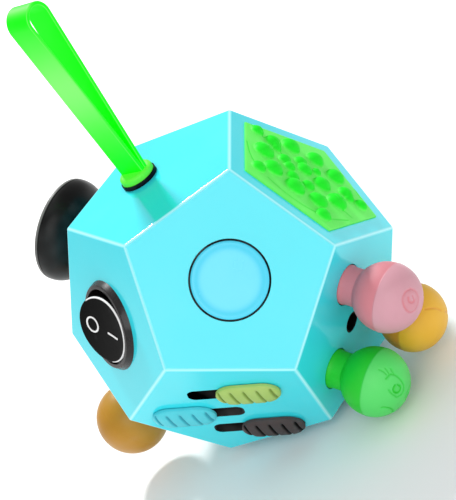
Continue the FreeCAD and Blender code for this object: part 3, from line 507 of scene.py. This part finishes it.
def build_strap():
    """Hairpin loop of ribbon: its section swept along its path."""
    path, outward = strap_path()
    section = strap_section()
    points, painted_highlight = [], []
    for step, ((px, pz), (ox, oz)) in enumerate(zip(path, outward)):
        for across, out, painted_light in section:
            points.append((px + ox * out, across, pz + oz * out))
            painted_highlight.append(max(painted_light, strap_sheen(step, len(path), out)))
    count = len(section)
    faces = ring_faces(len(path), count) + end_faces(len(path), count)
    matrix = face_matrix("strap", *STRAP_PLACE, STRAP_SPIN)
    piece = make_mesh("pull_strap", points, faces, matrix, 70)
    # The strap's pale corner lines and patches are painted highlight.
    float_attribute(piece, "painted_light", painted_highlight)
    dress(piece, "strap", "strap", "strap", "strap_loop")


# ---------------------------------------------------------------- texture pad

PAD_CORNER = 17.0
PAD_BOTTOM = -1.35
PAD_LEVEL = 0.35
PAD_TURN = 54
PAD_INSET = 0.998
PAD_PER_SIDE = 80
PAD_RINGS = 100
NUB_SPREAD = 1.35
NUB_BASE = 0.25
NUB_SLOPE = 0.8
CREASE_WIDTH = 0.16
CREASE_DEPTH = 0.12
RIM_SHARE = 0.985
RIM_DROP = 0.08
# Nubs: place on the pad and radius
NUBS = (
    (13.1, -4.7, 1.1), (9.2, -4.5, 1.4), (8.0, -3.2, 0.9), (5.9, -8.1, 1.6), (9.5, 1.6, 1.7),
    (5.9, 5.9, 1.6), (5.2, -0.9, 1.1), (3.6, 0.6, 1.0), (2.4, -4.6, 1.1), (0.9, -2.6, 1.3),
    (0.4, -9.9, 1.5), (-1.3, -5.1, 0.8), (1.9, 3.6, 1.1), (0.4, 7.1, 1.7), (-1.6, 2.9, 1.1),
    (-3.6, -1.6, 1.5), (-4.9, -8.6, 1.6), (-4.9, 6.0, 1.6), (-8.0, 1.1, 1.7), (-8.5, -5.0, 1.3),
    (-9.6, -3.9, 0.9), (-12.3, -4.6, 1.1), (-7.3, 10.0, 1.3), (8.3, 9.4, 1.2),
)
# Creases: points of strokes pressed into the pad, darkened as painted shade.
CREASES = (
    ((13.3, 2.2), (11.9, 5.1), (10.5, 7.2), (9.2, 8.6)),
    ((-6.6, -12.1), (-8.5, -10.9), (-10.1, -9.2), (-11.6, -7.9)),
    ((-6.0, 0.2), (-8.7, 2.4), (-10.5, 2.3), (-12.2, 2.7)),
    ((5.7, 10.5), (2.1, 11.5), (-2.4, 11.6), (-5.7, 10.8)),
    ((-8.6, 9.6), (-10.1, 7.4), (-11.9, 4.8)),
    ((15.0, -6.0), (12.8, -4.6), (10.5, -4.1), (7.1, -3.2), (5.6, -2.1)),
)


def pentagon_reach(points):
    """How far points are towards the pad's outline, 1 on it."""
    inner = PAD_CORNER * math.cos(math.pi / 5)
    angles = [math.radians(PAD_TURN + 36 + 72 * k) for k in range(5)]
    return np.max([points[:, 0] * math.cos(a) + points[:, 1] * math.sin(a) for a in angles], axis=0) / inner


def pad_relief(plane):
    """How high the nubs stand at many points of the pad, and how deep a crease runs there."""
    rise = np.zeros(len(plane))
    for x, y, radius in NUBS:
        away = np.linalg.norm(plane - (x, y), axis=1) / (radius * NUB_SPREAD)
        dome = np.clip(1 - away ** 2, 0, 1) ** 0.55 * (NUB_BASE + radius * NUB_SLOPE)
        rise = (rise ** 3 + dome ** 3) ** (1 / 3)
    crease = np.zeros(len(plane))
    for stroke in CREASES:
        distance = stroke_distance(plane, smooth_stroke(stroke))
        crease = np.maximum(crease, np.exp(-(distance / CREASE_WIDTH) ** 2))
    return rise, crease


def build_pad():
    """Silicone sheet with round nubs, as one moulding."""
    corners = [PAD_CORNER * np.array((math.cos(a), math.sin(a)))
               for a in np.radians([PAD_TURN + 72 * k for k in range(5)])]
    outline = []
    for a, b in zip(corners, corners[1:] + corners[:1]):
        outline += [a + (b - a) * t / PAD_PER_SIDE for t in range(PAD_PER_SIDE)]
    outline = np.array(outline) * PAD_INSET
    levels = 1 - np.arange(PAD_RINGS) / PAD_RINGS
    plane = np.concatenate([outline * level for level in levels] + [np.zeros((1, 2))])
    rise, crease = pad_relief(plane)
    rim = np.clip((pentagon_reach(plane) - RIM_SHARE) / (1 - RIM_SHARE), 0, 1)
    height = PAD_LEVEL + rise - CREASE_DEPTH * crease - RIM_DROP * rim ** 2
    count = len(outline)
    points = [(x, y, PAD_BOTTOM) for x, y in outline]
    points += [(x, y, z) for (x, y), z in zip(plane, height)]
    faces = ring_faces(PAD_RINGS + 1, count, False, True)
    faces.append(tuple(range(count))[::-1])
    piece = make_mesh("texture_sheet", points, faces, face_matrix("pad"), 50)
    # Nubs are a deeper green; the darkening along the creases is painted shade.
    dark = np.concatenate([np.zeros(count), np.clip(rise / 0.45 + crease * 0.8, 0, 1)])
    float_attribute(piece, "dark", dark)
    dress(piece, "pad", "case", "pad", "texture_pad")


# ---------------------------------------------------------------- bobble heads

HEAD_RADIUS = 7.0
HEAD_SIDES = 400
PARTING = 86.0
PARTING_STEP = 0.07
FACE_LIMIT = 74
STROKE_WIDTH = 1.8
BALL_END = 147
# Drawn lines: depth, then points in degrees from the ball's top, towards the brow and to the side
GREEN_EYE = (
    (0.16, ((12, 51), (21, 45), (22, 36), (16, 23), (8, 14), (-1, 11), (-8, 14), (-13, 21))),
    (0.14, ((-6, 41), (-10, 34), (-13, 21))),
    (0.22, ((7, 28), (5, 21), (-1, 20), (-6, 24), (-6, 31), (-1, 34), (5, 33))),
    (0.14, ((27, 63), (25, 57), (20, 51))),
    (0.14, ((31, 52), (27, 49), (22, 46))),
    (0.14, ((32, 42), (27, 40), (22, 36))),
)
GREEN_MOUTH = (
    (0.2, ((-41, 31), (-38, 27), (-36, 20), (-36, 12), (-37, 5), (-41, -5))),
)
PINK_EYE = (
    (0.16, ((25, 29), (22, 17), (11, 9), (-5, 10), (-13, 19), (-10, 32), (2, 42), (16, 40), (25, 29))),
    (0.16, ((14, 25), (8, 20), (3, 23), (3, 30), (9, 33))),
)
# Painted shade and painted highlight at the eyes: place and half size in the same degrees, and how much darker, a
# painted highlight where below zero
PINK_EYE_SHADING = (((6, 26), (18, 15), 0.4), ((12, 24), (6, 6), -0.4))
GREEN_EYE_SHADING = (((0, 27), (9, 9), 0.25), ((6, 27), (3, 3), -0.3))
ORANGE_LID = (
    (0.14, ((20, 50), (24, 40), (26, 28), (25, 16))),
)
# Neck below the ball: radius and height over the face
NECK = ((3.86, 2.9), (3.84, 2.4), (3.84, 1.6), (3.84, 0.9), (3.93, 0.4), (4.05, 0.1), (4.03, -0.2),
        (3.9, -1.1), (3.7, -2.1))


def mirrored(strokes, middle):
    """The same strokes on the other side of a line of equal second coordinate."""
    return tuple((depth, tuple((x, 2 * middle - y) for x, y in stroke)) for depth, stroke in strokes)


def head_profile():
    """Polar angles of the ball's rings in degrees, from its top down to the neck."""
    return list(np.arange(0.7, PARTING, 0.7)) + [PARTING - 0.15, PARTING + 0.15] + \
        list(np.arange(PARTING + 1.5, BALL_END, 1.5))


def build_head(colour, strokes, eye_shading=()):
    """Soft head: a ball with drawn lines on its front half, and its neck down into the case."""
    base = face_matrix("heads")
    low, high = local_box(colour + "_head", base)
    middle = (low + high) / 2
    top = high[2]
    matrix = face_matrix("heads", middle[0], middle[1])
    ball = top - HEAD_RADIUS
    count = HEAD_SIDES
    around = np.arange(count) * 2 * math.pi / count
    polar = np.repeat(np.array(head_profile()), count)
    angle = np.tile(around, len(head_profile()))
    flat = np.stack((polar * np.cos(angle), polar * np.sin(angle)), 1)
    radius = np.where(polar < PARTING, HEAD_RADIUS, HEAD_RADIUS - PARTING_STEP)
    groove = np.zeros(len(polar))
    front = polar < FACE_LIMIT
    for depth, stroke in strokes:
        distance = stroke_distance(flat[front], smooth_stroke(stroke))
        groove[front] = np.maximum(groove[front], depth * np.exp(-(distance / STROKE_WIDTH) ** 2))
    radius = radius - groove
    theta = np.radians(polar)
    ball_points = np.stack((radius * np.sin(theta) * np.cos(angle), radius * np.sin(theta) * np.sin(angle),
                            ball + radius * np.cos(theta)), 1)
    ring = np.stack((np.cos(around), np.sin(around)), 1)
    neck_points = np.concatenate([np.column_stack((ring * r, np.full(count, z))) for r, z in NECK])
    points = np.concatenate(([(0, 0, ball + HEAD_RADIUS)], ball_points, neck_points, [(0, 0, NECK[-1][1])]))
    rings = len(head_profile()) + len(NECK)
    faces = [face[::-1] for face in ring_faces(rings, count, True, True)]
    piece = make_mesh(colour + "_bobble", points, faces, matrix, 179)
    # Darker below the parting line and on the neck, and along the drawn lines.
    shade = 0.5 + 0.5 * np.tanh((polar - PARTING) / 1.2) + groove * 4.5
    # Painted shade inside the eyes, and a painted highlight spot in each.
    for spot, half, amount in eye_shading:
        inside = np.linalg.norm((flat - spot) / half, axis=1)
        shade += amount * (0.5 - 0.5 * np.tanh((inside - 1) / 0.12))
    shade = np.concatenate(([0.0], np.clip(shade, 0, 1), np.ones(len(neck_points) + 1)))
    float_attribute(piece, "dark", shade)
    dress(piece, colour, colour + "_bobble", colour, colour + "_head")


def build_heads():
    """The three heads, each with two mirrored eyes."""
    build_head("green", GREEN_EYE + mirrored(GREEN_EYE, 4) + GREEN_MOUTH, GREEN_EYE_SHADING)
    build_head("pink", PINK_EYE + mirrored(PINK_EYE, -2), PINK_EYE_SHADING)
    build_head("orange", ORANGE_LID + mirrored(ORANGE_LID, 8.5))


# ---------------------------------------------------------------- suction cup and joystick ball

CUP_FOOT = ((0.0, 1.25), (4.1, 1.25), (4.2, 1.45), (3.55, 2.9), (3.4, 3.6), (3.5, 4.8))
CUP_BACK = 6.2
CUP_BRIM = 1.0
CUP_DEPTH = 3.6
# The lip: how far inside the rim and how far below the mouth
CUP_LIP = ((0.15, 0.88), (0.02, 0.8), (0.0, 0.55), (0.05, 0.12), (0.2, 0.0), (0.42, 0.1))


def build_cup():
    """Rubber suction cup: a foot, a domed back, a thin lip with a pale band of painted highlight, and the hollow
    inside it.
    """
    matrix = face_matrix("cup")
    low, high = local_box("suction_cup", matrix)
    lip = high[2]
    radius = (high[0] - low[0]) / 2
    turn = np.linspace(0.42, math.pi / 2, 26)
    back = [(radius * math.sin(t) ** 0.8, (1 - math.cos(t)) ** 0.9) for t in turn]
    foot_of_back = back[0][1]
    rise = (lip - CUP_BRIM - CUP_BACK) / (back[-1][1] - foot_of_back)
    profile = list(CUP_FOOT)
    profile += [(r, CUP_BACK + (z - foot_of_back) * rise) for r, z in back]
    profile += [(radius - inside, lip - below) for inside, below in CUP_LIP]
    mouth = radius - 0.5
    for share in np.linspace(0, 1, 24)[1:]:
        r = mouth * (1 - share)
        profile.append((max(r, 0.0), lip - 0.2 - CUP_DEPTH * (1 - (r / mouth) ** 2)))
    piece = lathe("suction_bell", profile, matrix, CAP_ROUND, 50)
    # The pale band on the outside of the lip is painted highlight.
    profile_attribute(piece, "painted_light", profile, CAP_ROUND,
                      lambda r, z: float(r > radius - 0.06 and lip - 0.6 < z < lip - 0.05))
    dress(piece, "cup", "cup", "cup", "suction_cup")


BALL_RADIUS = 7.6
BALL_NECK = ((0.0, 3.5), (2.3, 3.5), (3.3, 3.5), (3.35, 3.7), (3.2, 4.3), (3.3, 4.75))
THUMB_HOLLOW = 0.25
MOULD_LINE = 0.05


def build_ball():
    """Joystick ball with a short neck, a moulding line round its middle and a shallow thumb hollow."""
    matrix = face_matrix("joystick")
    low, high = local_box("joystick_ball", matrix)
    middle = high[2] - BALL_RADIUS
    profile = list(BALL_NECK)
    for polar in np.arange(153, 0, -1.5):
        line = MOULD_LINE * math.exp(-((polar - 90) / 1.2) ** 2)
        hollow = THUMB_HOLLOW * math.exp(-(polar / 16) ** 4)
        r = BALL_RADIUS - line - hollow
        profile.append((r * math.sin(math.radians(polar)), middle + r * math.cos(math.radians(polar))))
    profile.append((0.0, middle + BALL_RADIUS - THUMB_HOLLOW))
    piece = lathe("stick_ball", profile, matrix, CAP_ROUND, 50)
    dress(piece, "ochre", "stick", "ochre", "joystick_ball")


# ---------------------------------------------------------------- button

BUTTON_RADIUS = 7.55
BUTTON_BORE = 6.0
BUTTON_UNDERSIDE = -1.6
BUTTON_ROUND = 0.5
# Painted shade on the cap: middle radius and width of the darker band.
BUTTON_SHADE_BAND = (6.5, 0.75)


def build_button():
    """Button cap with a softly rounded rim and a faintly domed top over its skirt, and a band of painted shade
    round the top.
    """
    matrix = face_matrix("button")
    low, high = local_box("button_cap", matrix)
    foot, top, radius = low[2], high[2], BUTTON_RADIUS
    profile = [(0.0, BUTTON_UNDERSIDE), (BUTTON_BORE, BUTTON_UNDERSIDE), (BUTTON_BORE, foot),
               (radius - 0.1, foot), (radius, foot + 0.1)]
    profile += arc((radius - BUTTON_ROUND, top - BUTTON_ROUND - 0.1), BUTTON_ROUND, 0, 84, 8)
    profile += [(r, top - 0.1 + 0.1 * (1 - (r / 6.9) ** 2)) for r in np.linspace(6.7, 0.0, 24)]
    piece = lathe("button_dome", profile, matrix, CAP_ROUND, 60)
    middle, width = BUTTON_SHADE_BAND
    profile_attribute(piece, "painted_light", profile, CAP_ROUND,
                      lambda r, z: math.exp(-((r - middle) / width) ** 2) if z > 0 else 0.0)
    dress(piece, "cap", "button", "cap", "button_cap")


# ---------------------------------------------------------------- slider grips

SLIDER_SPIN = 10.0
GRIP_BOTTOM = 0.15
GRIP_SHOULDER = 0.35
GRIP_STATIONS = 200
GRIP_ACROSS = 60
STEM_HALF = 1.6
STEM_REACH = 0.6
STEM_SIDES = 48
STEM_LEVELS = (-2.3, -2.2, 0.1, 0.2)
GROOVE_PITCH = 2.6
GROOVE_DEPTH = 0.5
GROOVE_SLANT = math.tan(math.radians(12))


def grip_shape(x, y, half_w, reach):
    """Height of the loaf, 0 at its brim and 1 on top, and how deep a crease runs through a point."""
    level = min(1.0, math.hypot(max(abs(x) - reach, 0.0), y) / half_w)
    dome = (1 - level ** 2.6) ** 0.62
    slant = x + y * GROOVE_SLANT
    phase = abs((slant / GROOVE_PITCH + 0.5) % 1 - 0.5) * GROOVE_PITCH
    lower = 0.5 - 0.5 * math.tanh((y - 2.5) / 0.4)
    middle = 0.5 - 0.5 * math.tanh((abs(slant) - 2.5 * GROOVE_PITCH) / 0.2)
    return dome, lower * middle * math.exp(-(phase / 0.26) ** 2) * min(1.0, dome * 2.5)


def build_grip(colour, material):
    """Loaf-shaped grip with slanting creases across its lower side, darkened as painted shade, over its stem."""
    matrix = face_matrix("sliders", 0, 0, SLIDER_SPIN)
    low, high = local_box(colour + "_slider", matrix)
    middle = (low + high) / 2
    half_l, half_w = (high[0] - low[0]) / 2, (high[1] - low[1]) / 2
    reach = half_l - half_w
    top = high[2] - GRIP_BOTTOM
    points, dark = [], []
    for x in -half_l * np.cos(np.linspace(0.02, math.pi - 0.02, GRIP_STATIONS)):
        width = half_w if abs(x) < reach else math.sqrt(half_w ** 2 - (abs(x) - reach) ** 2)
        ring = [(width, GRIP_BOTTOM, 0.0)]
        for y in width * np.sin(np.linspace(math.pi / 2, -math.pi / 2, GRIP_ACROSS)):
            dome, crease = grip_shape(x, y, half_w, reach)
            height = top * (GRIP_SHOULDER + (1 - GRIP_SHOULDER) * dome) - GROOVE_DEPTH * crease
            # Darkening in the creases is painted shade.
            ring.append((y, GRIP_BOTTOM + height, min(1.0, crease * 1.6)))
        ring.append((-width, GRIP_BOTTOM, 0.0))
        points += [(middle[0] + x, middle[1] + y, z) for y, z, _ in ring]
        dark += [shade for _, _, shade in ring]
    count = GRIP_ACROSS + 2
    faces = ring_faces(GRIP_STATIONS, count) + end_faces(GRIP_STATIONS, count)
    piece = make_mesh(colour + "_grip", points, faces, matrix, 55)
    float_attribute(piece, "dark", dark)
    dress(piece, material, colour + "_slide", material, colour + "_slider")
    build_grip_stem(colour, material, matrix, middle)


def build_grip_stem(colour, material, matrix, middle):
    """Flat-sided stem that carries the grip through its slot."""
    ring = []
    for k in range(STEM_SIDES):
        a = 2 * math.pi * k / STEM_SIDES
        ring.append((middle[0] + STEM_HALF * math.cos(a) + math.copysign(STEM_REACH, math.cos(a)),
                     middle[1] + STEM_HALF * math.sin(a)))
    points = [(x, y, z) for z in STEM_LEVELS for x, y in ring]
    faces = ring_faces(len(STEM_LEVELS), STEM_SIDES) + end_faces(len(STEM_LEVELS), STEM_SIDES)
    dress(make_mesh(colour + "_stem", points, faces, matrix, 40), material, colour + "_slide", material)


# ---------------------------------------------------------------- rocker paddle

PADDLE_RADIUS = 6.95
PADDLE_ROLL = 45.0
PADDLE_LEVEL = 48.85
PADDLE_TILT = -11
PADDLE_FOOT = -1.6
PADDLE_ROUND = 0.34
PADDLE_SIDES = 200
# Below the hollow top: radius and height over the pivot
PADDLE_NECK = ((5.6, -1.6), (6.0, -1.5), (6.0, 1.4), (6.45, 1.47), (6.5, 1.55), (6.5, 2.8), (6.88, 2.87),
               (PADDLE_RADIUS, 2.97))
# Painted highlight: a thin white line along part of the rim; its width, and the angles where it starts and ends.
PADDLE_HIGHLIGHT_WIDTH = 0.3
PADDLE_HIGHLIGHT_ARC = (20, 225)


def paddle_top(y):
    """Height of the hollow top over the pivot."""
    return PADDLE_LEVEL - math.sqrt(PADDLE_ROLL ** 2 - y ** 2)


def build_paddle():
    """Round rocker cap with a hollow top and softly broken edges, above its stepped neck, with a thin white line
    of painted highlight along part of its rim.
    """
    joint = joints["rocker_tilt"]
    pivot = Vector(joint["pos_m"])
    axis = Vector(joint["axis"]).normalized()
    outward = (Matrix.Rotation(math.radians(PADDLE_TILT), 3, axis) @ normal("rocker")).normalized()
    across = outward.cross(axis)
    turn = Matrix((axis, across, outward)).transposed().to_4x4()
    matrix = Matrix.Translation(pivot) @ turn @ Matrix.Scale(MM, 4)
    radius, count = PADDLE_RADIUS, PADDLE_SIDES
    angles = np.arange(count) * 2 * math.pi / count
    rings = [(r, z, False) for r, z in PADDLE_NECK]
    for drop in (PADDLE_ROUND, 0.3, 0.2, 0.1, 0.03, 0.0):
        inset = PADDLE_ROUND - math.sqrt(max(0.0, PADDLE_ROUND ** 2 - (PADDLE_ROUND - drop) ** 2))
        rings.append((radius - inset, -drop, True))
    rings += [(r, 0.0, True) for r in np.linspace(radius - 0.5, 0.3, 24)]
    points, painted_light = [(0, 0, PADDLE_FOOT)], [0.0]
    first, last = PADDLE_HIGHLIGHT_ARC
    for r, z, on_top in rings:
        for a in angles:
            x, y = r * math.cos(a), r * math.sin(a)
            points.append((x, y, z + paddle_top(y) if on_top else z))
            # Points in the white rim line get painted highlight.
            highlighted = on_top and radius - PADDLE_HIGHLIGHT_WIDTH < r < radius and first < math.degrees(a) < last
            painted_light.append(1.0 if highlighted else 0.0)
    points.append((0, 0, paddle_top(0)))
    painted_light.append(0.0)
    faces = ring_faces(len(rings), count, True, True)
    piece = make_mesh("rocker_cap", points, faces, matrix, 55)
    float_attribute(piece, "painted_light", painted_light)
    dress(piece, "paddle", "rocker", "black", "rocker_paddle")


# ---------------------------------------------------------------- floor, light and camera

FLOOR_HALF = 2400
FLOOR_LEVEL = -0.03
FLOOR_GREY = (0.93, 0.93, 0.93, 1.0)
AMBIENT = 0.62
CAMERA_AZIMUTH = -90.51
CAMERA_ELEVATION = 25.495
CAMERA_ROLL = 35.98
CAMERA_DISTANCE = 0.4618
CAMERA_TARGET = Vector((0.00335, 0.00228, 0.035686))
CAMERA_LENS = 164.0


def direction(azimuth, elevation):
    """Unit vector towards an azimuth and elevation in degrees."""
    a, e = math.radians(azimuth), math.radians(elevation)
    return Vector((math.cos(a) * math.cos(e), math.sin(a) * math.cos(e), math.sin(e)))


def build_floor():
    """Plain pale floor just under the base."""
    count = 24
    steps = np.linspace(-FLOOR_HALF, FLOOR_HALF, count + 1)
    points = [(x, y, FLOOR_LEVEL) for y in steps for x in steps]
    faces = []
    for row in range(count):
        for corner in range(row * (count + 1), row * (count + 1) + count):
            faces.append((corner, corner + 1, corner + count + 2, corner + count + 1))
    floor = make_mesh("floor", points, faces, Matrix.Scale(MM, 4))
    material = surface("pale_floor", FLOOR_GREY, 0.004, (0.85, 0.9), (300, 0.000002), 3)
    floor.data.materials.append(material)


def area_light(name, azimuth, elevation, distance, size, power):
    """Round lamp aimed at the middle of the case, with distance and size in metres and power in watts."""
    light = bpy.data.lights.new(name, "AREA")
    light.shape = "DISK"
    light.size = size
    light.energy = power
    lamp = bpy.data.objects.new(name, light)
    bpy.context.scene.collection.objects.link(lamp)
    way = direction(azimuth, elevation)
    lamp.location = CENTRE + way * distance
    lamp.rotation_mode = "QUATERNION"
    lamp.rotation_quaternion = way.to_track_quat("Z", "Y")


def build_lights():
    """Even white surroundings, a small key light from behind and a wide fill from the front."""
    world = bpy.data.worlds.new("studio")
    world.use_nodes = True
    background = world.node_tree.nodes["Background"]
    background.inputs["Color"].default_value = (1.0, 1.0, 1.0, 1.0)
    background.inputs["Strength"].default_value = AMBIENT
    bpy.context.scene.world = world
    area_light("key", azimuth=88, elevation=50, distance=0.9, size=0.12, power=7.0)
    area_light("front_fill", azimuth=-100, elevation=30, distance=1.2, size=0.9, power=5.5)


def build_camera():
    """Long lens, rolled so that the strap leans to the left."""
    data = bpy.data.cameras.new("camera")
    data.sensor_width = 36
    data.lens = CAMERA_LENS
    data.clip_start, data.clip_end = 0.01, 20
    camera = bpy.data.objects.new("camera", data)
    bpy.context.scene.collection.objects.link(camera)
    back = direction(CAMERA_AZIMUTH, CAMERA_ELEVATION)
    roll = math.radians(CAMERA_ROLL)
    level = Vector((0, 0, 1)).cross(back).normalized()
    upright = back.cross(level)
    right = level * math.cos(roll) - upright * math.sin(roll)
    up = upright * math.cos(roll) + level * math.sin(roll)
    place = Matrix.Translation(CAMERA_TARGET + back * CAMERA_DISTANCE)
    camera.matrix_world = place @ Matrix((right, up, back)).transposed().to_4x4()
    bpy.context.scene.camera = camera


def main():
    bpy.context.scene.view_settings.view_transform = "Standard"
    dress_nodes()
    paint_case_edge_highlights()
    build_strap()
    build_pad()
    build_heads()
    build_cup()
    build_ball()
    build_button()
    for colour, material in (("lime", "lime"), ("blue", "blue"), ("black", "dark")):
        build_grip(colour, material)
    build_paddle()
    build_floor()
    build_lights()
    build_camera()


main()
